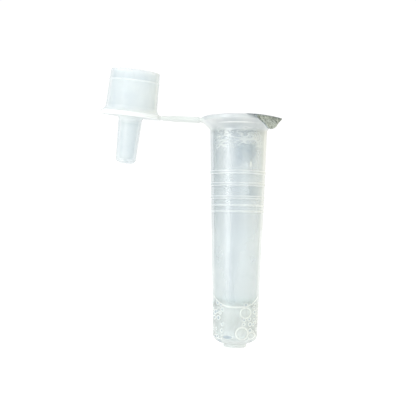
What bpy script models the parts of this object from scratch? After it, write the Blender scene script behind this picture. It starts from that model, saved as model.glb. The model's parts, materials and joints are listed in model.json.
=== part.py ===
"""Foil-sealed dropper tube: a small soft tube of buffer with a tethered dropper cap.

The origin is the centre of the tube's flat foot, with +Z up along the tube and the strap
and cap towards -X. The tube stands open-capped and still sealed by its foil, the cap hanging
out on its strap with the plug up and the nozzle down.
"""

import math

import bmesh
import bpy
from mathutils import Euler, Matrix, Vector

MM = 0.001
TURN = 2 * math.pi
SEGMENTS = 40
CLEARANCE = 0.08 * MM  # between pieces that lie against each other
SMOOTH_BELOW = math.radians(32)

# Tube
TUBE_LENGTH = 48.0 * MM
TUBE_TOP_RADIUS = 6.0 * MM
TUBE_LOW_RADIUS = 4.66 * MM
GUSSET_FOOT_Z = 45.4 * MM
SHOULDER_Z = 3.0 * MM
BASE_FULLNESS = 2.9  # 2 is an ellipse, and more is squarer
FOOT_RADIUS = 2.4 * MM
FOOT_HEIGHT = 0.65 * MM
CAVITY_FLOOR_Z = 1.25 * MM
CAVITY_SHOULDER_Z = 3.9 * MM
CAVITY_LOW_RADIUS = 4.06 * MM
CAVITY_FULLNESS = 2.6
BORE_TOP_RADIUS = 5.47 * MM
BORE_TOP_Z = 46.7 * MM

# Mouth: a flat ring for the foil, a gusset under it and a seat for the cap's flare
RING_RADIUS = 7.9 * MM
RING_THICKNESS = 0.9 * MM
MOUTH_RADIUS = 6.5 * MM
EDGE_ROUND = 0.15 * MM
GUSSET_HOLLOW = 1.3  # 1 is a straight cone

# Raised bands round the tube: depth below the rim, width, height
BANDS = (
    (11.6 * MM, 0.68 * MM, 0.10 * MM),
    (14.1 * MM, 0.62 * MM, 0.10 * MM),
    (16.8 * MM, 0.58 * MM, 0.10 * MM),
    (18.45 * MM, 0.28 * MM, 0.07 * MM),
    (19.7 * MM, 0.28 * MM, 0.07 * MM),
)

# Cap, measured along its own axis from the face that meets the rim
PLUG_LENGTH = 8.7 * MM
PLUG_END_RADIUS = 5.1 * MM
PLUG_ROOT_RADIUS = 5.4 * MM
PLUG_WALL = 0.6 * MM
BEAD_FROM_END = 2.2 * MM
BEAD_HEIGHT = 0.06 * MM
FLARE_LENGTH = 1.3 * MM
CAP_FLANGE_RADIUS = 6.4 * MM
CAP_FLANGE_THICKNESS = 0.85 * MM
NOZZLE_LENGTH = 9.85 * MM
NOZZLE_ROOT_RADIUS = 2.45 * MM
NOZZLE_TIP_RADIUS = 2.1 * MM
NOZZLE_ROUND = 0.95 * MM
NOZZLE_BORE_ROOT = 1.75 * MM
NOZZLE_BORE_TIP = 1.4 * MM
DRIP_HOLE_RADIUS = 0.4 * MM

# Strap: stiff lengths between four thin lines where it bends, the last cut where it twists
STRAP_WIDTH = 3.8 * MM
STRAP_THICKNESS = 0.8 * MM
STRAP_LENGTH = 8.0 * MM
STRAP_ROOT_Z = 47.5 * MM
HINGE_GAP = 0.15 * MM
HINGE_WEB = 0.1 * MM
HINGE_WEDGE = math.radians(36)
LIP_LENGTH = 1.0 * MM  # of the strap's roots, most of it inside the ring or flange
TUBE_HINGE_OUT = 0.35 * MM  # from the ring's edge to the first bend line
CAP_HINGE_OUT = 0.25 * MM  # from the cap flange's edge to the last bend line
CAP_HINGE_DROP = 0.42 * MM  # below the face that meets the rim
TWIST_SHARE = 0.5  # of the way from the outer bend line to the cap's
TWIST_GAP = 0.12 * MM
STRAP_TILT = math.radians(1.4)
CAP_TILT = math.radians(5.75)
CAP_LEAN = math.radians(5)  # sideways, by the strap's twist
CLOSED_DIP = math.radians(8)  # how far the folded strap's arms dip when the cap is shut

# Foil
FOIL_THICKNESS = 0.12 * MM
FOIL_RADIUS = 7.75 * MM
FOIL_GAP = 0.16 * MM
FOLD_FROM_AXIS = 8.3 * MM
FOLD_HALF_WIDTH = 4.1 * MM
FOLD_ANGLE = math.radians(60)
CORNER_OUTLINE = (  # out from the fold, and along it
    (0.90 * MM, -3.95 * MM),
    (1.70 * MM, -3.05 * MM),
    (2.90 * MM, -2.45 * MM),
    (3.30 * MM, -2.05 * MM),
    (3.30 * MM, -1.20 * MM),
    (2.95 * MM, 0.10 * MM),
    (1.65 * MM, 1.95 * MM),
    (0.60 * MM, 3.55 * MM),
)
BOND_LINE_Y = 6.95 * MM

# Buffer
LIQUID_LEVEL = 8.7 * MM
MENISCUS_RISE = 1.7 * MM


def clear_scene():
    for thing in list(bpy.data.objects):
        bpy.data.objects.remove(thing)


def plastic(name, colour, roughness, alpha=1.0, metallic=0.0, transmission=0.0):
    material = bpy.data.materials.new(name)
    material.use_nodes = True
    shader = material.node_tree.nodes["Principled BSDF"]
    shader.inputs["Base Color"].default_value = (*colour, 1.0)
    shader.inputs["Roughness"].default_value = roughness
    shader.inputs["Metallic"].default_value = metallic
    shader.inputs["Alpha"].default_value = alpha
    shader.inputs["Transmission Weight"].default_value = transmission
    return material


def make_object(name, bm, material, at=(0, 0, 0), turn=(0, 0, 0)):
    bmesh.ops.recalc_face_normals(bm, faces=bm.faces)
    mesh = bpy.data.meshes.new(name)
    bm.to_mesh(mesh)
    bm.free()
    mesh.materials.append(material)
    mesh.shade_smooth()
    mesh.set_sharp_from_angle(angle=SMOOTH_BELOW)
    piece = bpy.data.objects.new(name, mesh)
    bpy.context.collection.objects.link(piece)
    piece.location = at
    piece.rotation_euler = turn
    return piece


def add_hinge_point(name, at, turn=(0, 0, 0)):
    """An empty on a bend line, which the pieces beyond the line hang on."""
    empty = bpy.data.objects.new(name, None)
    bpy.context.collection.objects.link(empty)
    empty.location = at
    empty.rotation_euler = turn
    return empty


def turned(profile, closed):
    """A profile of (radius, height) points, spun round Z."""
    bm = bmesh.new()
    points = [bm.verts.new((radius, 0, height)) for radius, height in profile]
    edges = [bm.edges.new(pair) for pair in zip(points, points[1:])]
    if closed:
        edges.append(bm.edges.new((points[-1], points[0])))
    bmesh.ops.spin(
        bm,
        geom=points + edges,
        cent=(0, 0, 0),
        axis=(0, 0, 1),
        angle=TURN,
        steps=SEGMENTS,
        use_merge=True,
    )
    bmesh.ops.remove_doubles(bm, verts=bm.verts, dist=1e-7)
    return bm


def extruded(outline, low, high):
    """A flat outline of (x, y) points, standing from low to high along Z."""
    bm = bmesh.new()
    face = bm.faces.new([bm.verts.new((x, y, low)) for x, y in outline])
    risen = bmesh.ops.extrude_face_region(bm, geom=[face])["geom"]
    tops = [item for item in risen if isinstance(item, bmesh.types.BMVert)]
    bmesh.ops.translate(bm, verts=tops, vec=(0, 0, high - low))
    return bm


def base_curve(shoulder_z, radius, depth, fullness, from_radius, steps=8):
    """(radius, z) points of a round base, from near the axis up to its shoulder."""
    power = 2 / fullness
    start = math.acos((from_radius / radius) ** (1 / power))
    points = []
    for i in range(steps + 1):
        angle = start * (1 - i / steps)
        across, down = math.cos(angle) ** power, math.sin(angle) ** power
        points.append((radius * across, shoulder_z - depth * down))
    return points


def corner_arc(centre, radius, start, end, steps):
    """(x, y) points on a circle, both ends included."""
    angles = [start + (end - start) * i / steps for i in range(steps + 1)]
    return [(centre[0] + radius * math.cos(a), centre[1] + radius * math.sin(a)) for a in angles]


def outer_radius(z):
    """The tube's outside tapers evenly from the gusset down to the shoulder."""
    share = (z - SHOULDER_Z) / (GUSSET_FOOT_Z - SHOULDER_Z)
    return TUBE_LOW_RADIUS + share * (TUBE_TOP_RADIUS - TUBE_LOW_RADIUS)


def inner_radius(z):
    share = (z - CAVITY_SHOULDER_Z) / (BORE_TOP_Z - CAVITY_SHOULDER_Z)
    return CAVITY_LOW_RADIUS + share * (BORE_TOP_RADIUS - CAVITY_LOW_RADIUS)


def band_points(depth, width, height):
    """A raised band with sloping sides, from its lower edge to its upper edge."""
    middle = TUBE_LENGTH - depth
    foot = width / 2
    crest = foot - 0.7 * height
    steps = ((-foot, 0.0), (-crest, height), (crest, height), (foot, 0.0))
    return [(outer_radius(middle + dz) + lift, middle + dz) for dz, lift in steps]


def gusset_points():
    """The slightly hollow cone that swells from the tube's wall out to the ring."""
    rise = TUBE_LENGTH - RING_THICKNESS - GUSSET_FOOT_Z
    reach = RING_RADIUS - EDGE_ROUND - TUBE_TOP_RADIUS
    steps = 6
    shares = [i / steps for i in range(steps + 1)]
    return [
        (TUBE_TOP_RADIUS + reach * share**GUSSET_HOLLOW, GUSSET_FOOT_Z + rise * share)
        for share in shares
    ]


def tube_profile():
    foot = [
        (0, 0),
        (FOOT_RADIUS - EDGE_ROUND, 0),
        (FOOT_RADIUS, EDGE_ROUND),
        (FOOT_RADIUS, FOOT_HEIGHT),
    ]
    depth = SHOULDER_Z - FOOT_HEIGHT
    base = base_curve(SHOULDER_Z, TUBE_LOW_RADIUS, depth, BASE_FULLNESS, 1.12 * FOOT_RADIUS)
    bands = [point for band in reversed(BANDS) for point in band_points(*band)]
    edge = [
        (RING_RADIUS, TUBE_LENGTH - RING_THICKNESS + EDGE_ROUND),
        (RING_RADIUS, TUBE_LENGTH - EDGE_ROUND),
        (RING_RADIUS - EDGE_ROUND, TUBE_LENGTH),
    ]
    seat = [
        (MOUTH_RADIUS, TUBE_LENGTH),
        (MOUTH_RADIUS - 0.55 * MM, TUBE_LENGTH - 0.5 * MM),
        (BORE_TOP_RADIUS + 0.08 * MM, TUBE_LENGTH - 1.15 * MM),
        (BORE_TOP_RADIUS, BORE_TOP_Z),
    ]
    depth = CAVITY_SHOULDER_Z - CAVITY_FLOOR_Z
    floor = base_curve(CAVITY_SHOULDER_Z, CAVITY_LOW_RADIUS, depth, CAVITY_FULLNESS, 0)
    floor[0] = (0, CAVITY_FLOOR_Z)
    return foot + base + bands + gusset_points() + edge + seat + floor[::-1]


def hinge_lip(name, length, height_at, out_to, material):
    """A tongue on a round edge, thinned along its free side to a bend line."""
    half, web = STRAP_THICKNESS / 2, HINGE_WEB / 2
    full = half / math.tan(HINGE_WEDGE)
    tip = HINGE_GAP / 2
    outline = [
        (-out_to + tip, height_at - web),
        (-out_to + tip, height_at + web),
        (-out_to + full, height_at + half),
        (-out_to + length, height_at + half),
        (-out_to + length, height_at - half),
        (-out_to + full, height_at - half),
    ]
    bm = extruded(outline, -STRAP_WIDTH / 2, STRAP_WIDTH / 2)
    bmesh.ops.rotate(bm, verts=bm.verts, matrix=Matrix.Rotation(math.pi / 2, 3, "X"))
    lip = make_object(name, bm, material)
    lip.hide_render = True
    lip.display_type = "WIRE"
    return lip


def join_lip(body, lip):
    union = body.modifiers.new("Strap root", "BOOLEAN")
    union.operation = "UNION"
    union.solver = "EXACT"
    union.object = lip
    lip.parent = body


def make_tube(material):
    tube = make_object("tube", turned(tube_profile(), closed=False), material)
    reach = RING_RADIUS + TUBE_HINGE_OUT
    join_lip(tube, hinge_lip("tube_lip", LIP_LENGTH, STRAP_ROOT_Z, reach, material))
    return tube


def cap_profile():
    """From the plug's open end down its outside to the nozzle's tip, and back up inside."""
    bead_z = PLUG_LENGTH - BEAD_FROM_END

    def plug_radius(z):
        share = (z - FLARE_LENGTH) / (PLUG_LENGTH - FLARE_LENGTH)
        return PLUG_ROOT_RADIUS + share * (PLUG_END_RADIUS - PLUG_ROOT_RADIUS)

    outside = [
        (PLUG_END_RADIUS - PLUG_WALL + 0.1 * MM, PLUG_LENGTH),
        (PLUG_END_RADIUS - EDGE_ROUND, PLUG_LENGTH),
        (PLUG_END_RADIUS, PLUG_LENGTH - EDGE_ROUND),
        (plug_radius(bead_z + 0.25 * MM), bead_z + 0.25 * MM),
        (plug_radius(bead_z) + BEAD_HEIGHT, bead_z),
        (plug_radius(bead_z - 0.25 * MM), bead_z - 0.25 * MM),
    ]
    reach = CAP_FLANGE_RADIUS - PLUG_ROOT_RADIUS
    steps = 4
    flare = [
        (CAP_FLANGE_RADIUS - reach * math.sin(a), FLARE_LENGTH * (1 - math.cos(a)))
        for a in (math.pi / 2 * (1 - i / steps) for i in range(steps + 1))
    ]
    under = -CAP_FLANGE_THICKNESS
    flange = [
        (CAP_FLANGE_RADIUS, under + EDGE_ROUND),
        (CAP_FLANGE_RADIUS - EDGE_ROUND, under),
        (NOZZLE_ROOT_RADIUS + 0.4 * MM, under),
        (NOZZLE_ROOT_RADIUS + 0.1 * MM, under - 0.12 * MM),
        (NOZZLE_ROOT_RADIUS, under - 0.5 * MM),
    ]
    tip_z = under - NOZZLE_LENGTH
    tip_centre = (NOZZLE_TIP_RADIUS - NOZZLE_ROUND, tip_z + NOZZLE_ROUND)
    tip = corner_arc(tip_centre, NOZZLE_ROUND, 0, -math.pi / 2, 5)
    drip = [(DRIP_HOLE_RADIUS, tip_z), (DRIP_HOLE_RADIUS, tip_z + 0.8 * MM)]
    inside = [
        (NOZZLE_BORE_TIP, tip_z + 1.3 * MM),
        (NOZZLE_BORE_ROOT, under),
        (NOZZLE_BORE_ROOT + 0.35 * MM, 0.0),
        (PLUG_ROOT_RADIUS - PLUG_WALL - 0.5 * MM, 0.15 * MM),
        (PLUG_ROOT_RADIUS - PLUG_WALL, 0.65 * MM),
    ]
    return outside + flare + flange + tip + drip + inside


def cap_hinge_point():
    """The last bend line, which leans with the strap's end and lets the cap tilt."""
    leaning = Euler((CAP_LEAN, STRAP_TILT, 0)).to_matrix()
    tilting = Matrix.Rotation(CAP_TILT - STRAP_TILT, 3, "Y")
    return add_hinge_point("cap_hinge_line", strap_points()[-1], (leaning @ tilting).to_euler())


def make_cap(hinge, material):
    """The cap hangs on the last bend line, leaning a little towards the tube."""
    cap = make_object("dropper_cap", turned(cap_profile(), closed=True), material)
    turn_back = Matrix.Rotation(math.pi, 4, "Z")
    cap.data.transform(turn_back)
    cap.location = (-(CAP_FLANGE_RADIUS + CAP_HINGE_OUT), 0, CAP_HINGE_DROP)
    cap.parent = hinge
    reach = CAP_FLANGE_RADIUS + CAP_HINGE_OUT
    lip = hinge_lip("cap_lip", LIP_LENGTH, -CAP_HINGE_DROP, reach, material)
    lip.data.transform(turn_back)
    join_lip(cap, lip)
    return cap


def strap_lengths():
    """The three lengths, near the tube first, that let the folded strap shut the cap.

    Shut, the middle length stands upright and both arms dip by CLOSED_DIP, so the cap's
    bend line comes in by the difference of the two edges and up by the stack of flanges.
    """
    shut_x = (RING_RADIUS + TUBE_HINGE_OUT) - (CAP_FLANGE_RADIUS + CAP_HINGE_OUT)
    shut_z = TUBE_LENGTH + CLEARANCE + CAP_HINGE_DROP - STRAP_ROOT_Z
    difference = shut_x / math.cos(CLOSED_DIP)
    dip = math.sin(CLOSED_DIP)
    middle = (shut_z + dip * STRAP_LENGTH) / (1 + dip)
    arms = STRAP_LENGTH - middle
    return (arms - difference) / 2, middle, (arms + difference) / 2


def strap_points():
    """The four bend lines at rest, as places on the plane y = 0."""
    along = Vector((-math.cos(STRAP_TILT), 0, math.sin(STRAP_TILT)))
    points = [Vector((-(RING_RADIUS + TUBE_HINGE_OUT), 0, STRAP_ROOT_Z))]
    for length in strap_lengths():
        points.append(points[-1] + along * length)
    return points


def bend_end(x, inward):
    """Outline points of a strap's end that thins to a bend line; inward is +1 or -1 along X."""
    half, web, tip = STRAP_THICKNESS / 2, HINGE_WEB / 2, HINGE_GAP / 2
    full = half / math.tan(HINGE_WEDGE)
    near, far = x + inward * tip, x + inward * full
    return [(far, inward * half), (near, inward * web), (near, -inward * web), (far, -inward * half)]


def square_end(x, inward):
    half = STRAP_THICKNESS / 2
    near = x + inward * TWIST_GAP / 2
    return [(near, inward * half), (near, -inward * half)]


def make_strap(material):
    """Four lengths; the last two meet where the strap twists, and the last one leans."""
    near_tube, middle, near_cap = strap_lengths()
    points = strap_points()
    to_twist = near_cap * TWIST_SHARE
    twist_point = points[2].lerp(points[3], TWIST_SHARE)
    level, leaning = (0, STRAP_TILT, 0), (CAP_LEAN, STRAP_TILT, 0)
    lengths = (
        ("strap_near_tube", points[0], level, bend_end(0, -1) + bend_end(-near_tube, 1)),
        ("strap_middle", points[1], level, bend_end(0, -1) + bend_end(-middle, 1)),
        ("strap_near_cap", points[2], level, bend_end(0, -1) + square_end(-to_twist, 1)),
        (
            "strap_cap_end",
            twist_point,
            leaning,
            square_end(0, -1) + bend_end(to_twist - near_cap, 1),
        ),
    )
    for name, start, turn, outline in lengths:
        bm = extruded(outline, -STRAP_WIDTH / 2, STRAP_WIDTH / 2)
        bmesh.ops.rotate(bm, verts=bm.verts, matrix=Matrix.Rotation(math.pi / 2, 3, "X"))
        make_object(name, bm, material, at=start, turn=turn)


def foil_frame():
    """The fold's middle, and the directions out from the tube and along the fold."""
    out = Vector((1, -1, 0)).normalized()
    along = Vector((1, 1, 0)).normalized()
    return out * FOLD_FROM_AXIS, out, along


def foil_lid_outline():
    """A disc that widens into two straight sides towards the folded corner."""
    middle, out, along = foil_frame()
    near, far = middle - along * FOLD_HALF_WIDTH, middle + along * FOLD_HALF_WIDTH
    inset = out * (FOIL_GAP / 2)
    distance = near.length
    spread = math.acos(FOIL_RADIUS / distance)
    right = math.atan2(far.y, far.x) + spread
    left = math.atan2(near.y, near.x) - spread
    bond_angle = math.asin((BOND_LINE_Y - FOIL_GAP / 2) / FOIL_RADIUS)
    outline = corner_arc((0, 0), FOIL_RADIUS, right, bond_angle, 6)
    outline += corner_arc((0, 0), FOIL_RADIUS, math.pi - bond_angle, left + TURN, 16)
    return outline + [tuple((p - inset).xy) for p in (near, far)]


def foil_bond_outline():
    """The far strip that stays sealed to the ring when the lid is peeled."""
    angle = math.asin((BOND_LINE_Y + FOIL_GAP / 2) / FOIL_RADIUS)
    return corner_arc((0, 0), FOIL_RADIUS, angle, math.pi - angle, 10)


def foil_corner_outline():
    """The pull corner laid flat: x out from the fold, y along it."""
    near, far = (FOIL_GAP / 2, -FOLD_HALF_WIDTH), (FOIL_GAP / 2, FOLD_HALF_WIDTH)
    return [near, *CORNER_OUTLINE, far]


def make_foil(material):
    low = TUBE_LENGTH + CLEARANCE
    high = low + FOIL_THICKNESS
    bond = extruded(foil_bond_outline(), low, high)
    make_object("foil_bonded_strip", bond, material)

    peel_line = Vector((0, BOND_LINE_Y, high))
    peel = add_hinge_point("foil_peel_line", peel_line)
    lid = make_object("foil_lid", extruded(foil_lid_outline(), low, high), material)
    lid.parent = peel
    lid.location = -peel_line

    middle, out, _ = foil_frame()
    fold = add_hinge_point("foil_fold_line", middle + Vector((0, 0, (low + high) / 2)))
    fold.rotation_euler = (0, FOLD_ANGLE, math.atan2(out.y, out.x))
    half = FOIL_THICKNESS / 2
    corner = make_object("foil_pull_corner", extruded(foil_corner_outline(), -half, half), material)
    corner.parent = fold


def make_buffer(material):
    """The buffer fills the round base and creeps up the wall at its surface."""
    gap = CLEARANCE
    radius = CAVITY_LOW_RADIUS - gap
    depth = CAVITY_SHOULDER_Z - CAVITY_FLOOR_Z - gap
    base = base_curve(CAVITY_SHOULDER_Z, radius, depth, CAVITY_FULLNESS, 0)
    base[0] = (0, CAVITY_FLOOR_Z + gap)
    steps = 6
    rim_radius = inner_radius(LIQUID_LEVEL + MENISCUS_RISE) - gap
    surface = [
        (rim_radius * (1 - i / steps), LIQUID_LEVEL + MENISCUS_RISE * (1 - i / steps) ** 3)
        for i in range(steps + 1)
    ]
    make_object("buffer_liquid", turned(base + surface, closed=False), material)


def main():
    clear_scene()
    moulding = plastic("Soft moulding", (0.80, 0.88, 0.90), 0.3, alpha=0.45)
    foil = plastic("Foil", (0.42, 0.44, 0.42), 0.35, metallic=0.9)
    buffer = plastic("Buffer", (0.86, 0.93, 0.92), 0.05, alpha=0.35, transmission=0.9)

    make_tube(moulding)
    make_strap(moulding)
    make_cap(cap_hinge_point(), moulding)
    make_foil(foil)
    make_buffer(buffer)
    bpy.context.view_layer.update()


main()
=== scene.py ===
"""Looks of the foil-sealed dropper tube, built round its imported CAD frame.

The tube, strap and cap are thin milky soft plastic, the lid is a pressed and wrinkled foil,
and the round base holds a little bubbly buffer. Pieces take their places from the CAD nodes'
boxes and from the joints' bend lines. Lengths are in metres, written as numbers of MM.
"""

import json
import math
import random

import bmesh
import bpy
from mathutils import Euler, Matrix, Vector, noise
from mathutils.geometry import delaunay_2d_cdt


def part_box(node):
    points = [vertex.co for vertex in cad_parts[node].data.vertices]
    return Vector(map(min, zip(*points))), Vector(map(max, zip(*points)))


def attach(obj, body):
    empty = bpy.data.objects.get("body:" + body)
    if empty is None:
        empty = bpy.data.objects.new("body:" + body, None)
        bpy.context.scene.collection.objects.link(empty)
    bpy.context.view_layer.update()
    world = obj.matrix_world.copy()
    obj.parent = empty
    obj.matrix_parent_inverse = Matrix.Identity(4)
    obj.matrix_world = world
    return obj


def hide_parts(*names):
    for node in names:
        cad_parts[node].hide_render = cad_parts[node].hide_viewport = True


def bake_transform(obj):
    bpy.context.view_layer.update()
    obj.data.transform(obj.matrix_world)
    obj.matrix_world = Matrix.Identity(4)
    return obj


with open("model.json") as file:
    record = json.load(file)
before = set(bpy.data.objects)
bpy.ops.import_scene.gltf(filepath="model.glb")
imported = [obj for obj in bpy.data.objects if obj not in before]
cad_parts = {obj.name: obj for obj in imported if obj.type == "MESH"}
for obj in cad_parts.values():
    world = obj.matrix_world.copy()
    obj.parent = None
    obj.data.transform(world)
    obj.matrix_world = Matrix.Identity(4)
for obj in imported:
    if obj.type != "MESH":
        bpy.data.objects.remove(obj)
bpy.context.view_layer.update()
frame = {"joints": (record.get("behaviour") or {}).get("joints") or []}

MM = 0.001
TURN = 2 * math.pi
SEGMENTS = 128
SHARP_ABOVE = math.radians(40)

# Places that the frame gives
BENDS = {joint["name"]: Vector(joint["pos_m"]) for joint in frame["joints"]}
STRAP_BENDS = [
    BENDS[name]
    for name in ("strap_bend_at_tube", "strap_bend_inner", "strap_bend_outer", "strap_bend_at_cap")
]
RIM_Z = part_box("tube")[1].z
RING_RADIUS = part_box("tube")[1].x
TWIST = BENDS["strap_twist"]

# Tube
TUBE_TOP_RADIUS = 6.0 * MM
TUBE_LOW_RADIUS = 4.66 * MM
GUSSET_FOOT_Z = 45.4 * MM
WALL_TOP_Z = 44.7 * MM
SHOULDER_Z = 3.0 * MM
BASE_FULLNESS = 2.9  # 2 is an ellipse, and more is squarer
FOOT_RADIUS = 2.4 * MM
FOOT_HEIGHT = 0.65 * MM
CAVITY_FLOOR_Z = 1.25 * MM
CAVITY_SHOULDER_Z = 3.9 * MM
CAVITY_LOW_RADIUS = 4.25 * MM
CAVITY_FULLNESS = 2.6
CAVITY_GAP = 0.03 * MM  # between the wall and the liquid
BORE_TOP_RADIUS = 5.47 * MM
BORE_TOP_Z = 46.7 * MM
RING_THICKNESS = 0.9 * MM
MOUTH_RADIUS = 6.5 * MM
EDGE_ROUND = 0.15 * MM
GUSSET_HOLLOW = 1.3
BANDS = (  # depth of the middle under the rim, width, height
    (11.6 * MM, 0.68 * MM, 0.10 * MM),
    (14.1 * MM, 0.62 * MM, 0.10 * MM),
    (16.8 * MM, 0.58 * MM, 0.10 * MM),
    (18.45 * MM, 0.28 * MM, 0.07 * MM),
    (19.7 * MM, 0.28 * MM, 0.07 * MM),
)

# Cap, along its own axis from the face that meets the rim
PLUG_LENGTH = 8.7 * MM
PLUG_END_RADIUS = 5.1 * MM
PLUG_ROOT_RADIUS = 5.4 * MM
PLUG_WALL = 0.6 * MM
BEAD_FROM_END = 2.2 * MM
BEAD_HEIGHT = 0.06 * MM
FLARE_LENGTH = 1.3 * MM
CAP_FLANGE_RADIUS = 6.4 * MM
CAP_FLANGE_THICKNESS = 0.85 * MM
NOZZLE_LENGTH = 9.85 * MM
NOZZLE_ROOT_RADIUS = 2.45 * MM
NOZZLE_TIP_RADIUS = 2.1 * MM
NOZZLE_ROUND = 0.95 * MM
NOZZLE_BORE_ROOT = 1.75 * MM
NOZZLE_BORE_TIP = 1.4 * MM
DRIP_HOLE_RADIUS = 0.4 * MM
CAP_HINGE_OUT = 0.25 * MM
CAP_HINGE_DROP = 0.42 * MM
CAP_TILT = math.radians(5.75)
CAP_LEAN = math.radians(5)
STRAP_TILT = math.radians(1.4)

# Strap
STRAP_HALF_WIDTH = 1.9 * MM
STRAP_HALF_THICKNESS = 0.4 * MM
STRAP_SINK = 0.2 * MM  # of its root into the ring
STRAP_STEP = 0.1 * MM
ROOT_REACH = 0.42 * MM  # to either side of a line where it bends at a root
BEND_REACH = 0.8 * MM  # and of one within its length
TWIST_REACH = 0.85 * MM  # and of the place where it twists

# Foil
FOIL_THICKNESS = 0.04 * MM
FOIL_RADIUS = 7.64 * MM
FOLD_FROM_AXIS = 8.3 * MM
FOLD_HALF_WIDTH = 4.1 * MM
FOLD_ANGLE = math.radians(60)
SIDE_SPREAD = math.radians(12)  # round the ring from the fold's end to the round edge
HALF_FOLD = 0.28 * MM  # to either side of the fold's line
CORNER_SEAM = 0.7 * MM  # from the fold back to where the corner's sheet starts
FOIL_GRID = 0.3 * MM
CORNER_EDGE = (  # out from the fold and along it, in millimetres
    (0.80, -3.95),
    (1.66, -3.08),
    (2.50, -2.62),
    (3.20, -2.30),
    (3.40, -1.60),
    (3.22, -0.60),
    (2.75, 0.45),
    (1.65, 1.92),
    (0.75, 3.25),
    (0.35, 3.85),
)

# Buffer
LIQUID_LEVEL = 8.7 * MM
MENISCUS_RISE = 1.7 * MM
MENISCUS_POWER = 3.2
FILM_IOR = 1.01  # a thin film hardly bends what is seen through it
BUBBLE_COUNT = 90
BUBBLE_TRIES = 30000
BUBBLE_SEED = 41
LARGE_BUBBLES = (  # x, y, z and radius in millimetres, and height over width
    (1.95, -2.3, 7.25, 1.1, 1.0),
    (1.25, -2.2, 3.25, 1.35, 1.0),
    (3.1, -1.2, 2.75, 0.55, 1.0),
    (-2.2, -2.2, 2.35, 1.1, 0.27),
    (-0.3, 2.0, 5.2, 0.9, 1.0),
    (-2.2, 1.6, 6.8, 0.75, 1.0),
    (2.6, 1.7, 5.3, 0.7, 1.0),
)

# Marks that the tube's material draws on its wall, many of them painted highlight and painted shade
FILM_LOW_Z = 41.4 * MM
FILM_HIGH_Z = 45.3 * MM
UPPER_SEAT_Z = 46.4 * MM
LOWER_SEAT_Z = 45.1 * MM
# The bubbles' white rims are painted highlight, and darkness is the strength of painted shade in
# their middles.
WALL_BUBBLES = (  # the largest on the near wall: x, z, radius in millimetres, flatness, darkness
    (1.95, 7.5, 1.1, 0.95, 0.45),
    (1.25, 3.3, 1.25, 1.0, 0.6),
    (3.2, 2.75, 0.75, 0.85, 0.45),
    (-1.75, 2.5, 1.1, 0.4, 2.4),
)

# Studio
FLOOR_Z = -0.02 * MM
CAMERA_EYE = Vector((-6.18, -165.0, 25.5)) * MM
CAMERA_AIM = Vector((-6.18, 0.0, 28.96)) * MM
CAMERA_ROLL = math.radians(1.11)
CAMERA_LENS = 67.75


# ---------------------------------------------------------------- meshes


def finish_mesh(name, bm, material, sharp=SHARP_ABOVE):
    bmesh.ops.recalc_face_normals(bm, faces=bm.faces)
    mesh = bpy.data.meshes.new(name)
    bm.to_mesh(mesh)
    bm.free()
    mesh.materials.append(material)
    mesh.shade_smooth()
    mesh.set_sharp_from_angle(angle=sharp)
    piece = bpy.data.objects.new(name, mesh)
    bpy.context.scene.collection.objects.link(piece)
    return piece


def refined(profile, step):
    """The same profile with long runs divided, so that each can be shaped."""
    points = [profile[0]]
    for start, end in zip(profile, profile[1:]):
        length = math.hypot(end[0] - start[0], end[1] - start[1])
        count = max(1, round(length / step))
        for i in range(1, count + 1):
            share = i / count
            points.append(tuple(a + (b - a) * share for a, b in zip(start, end)))
    return points


def ring_of(bm, layer, radius, z, thick):
    """A ring of points, or a single one on the axis."""
    if radius < 1e-7:
        ring = [bm.verts.new((0, 0, z))]
    else:
        angles = [TURN * i / SEGMENTS for i in range(SEGMENTS)]
        ring = [bm.verts.new((radius * math.cos(a), radius * math.sin(a), z)) for a in angles]
    for vert in ring:
        vert[layer] = thick
    return ring


def bridge(bm, low, high):
    """Faces between two rings, either of which may be a single point."""
    count = max(len(low), len(high))
    for i in range(count):
        j = (i + 1) % count
        corners = [low[i % len(low)], low[j % len(low)], high[j % len(high)], high[i % len(high)]]
        bm.faces.new(list(dict.fromkeys(corners)))


def turned(profile, closed=False):
    """A profile of (radius, height, thickness share) points, spun round Z."""
    bm = bmesh.new()
    layer = bm.verts.layers.float.new("thick")
    rings = [ring_of(bm, layer, *point) for point in profile]
    following = rings[1:] + rings[:1] if closed else rings[1:]
    for low, high in zip(rings, following):
        bridge(bm, low, high)
    return bm


def arc(centre, radius, start, end, steps, thick):
    """(radius, z, thick) points on a circle in the profile's plane."""
    angles = [start + (end - start) * i / steps for i in range(steps + 1)]
    return [
        (centre[0] + radius * math.cos(a), centre[1] + radius * math.sin(a), thick) for a in angles
    ]


def base_curve(shoulder_z, radius, depth, fullness, from_radius, thick):
    """(radius, z, thick) points of a round base, from near the axis up to its shoulder."""
    steps = 24
    power = 2 / fullness
    start = math.acos((from_radius / radius) ** (1 / power))
    points = []
    for i in range(steps + 1):
        angle = start * (1 - i / steps)
        across, down = math.cos(angle) ** power, math.sin(angle) ** power
        points.append((radius * across, shoulder_z - depth * down, thick))
    return points


def smooth_step(value, low, high):
    share = min(1.0, max(0.0, (value - low) / (high - low)))
    return share * share * (3 - 2 * share)


# ---------------------------------------------------------------- materials


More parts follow.
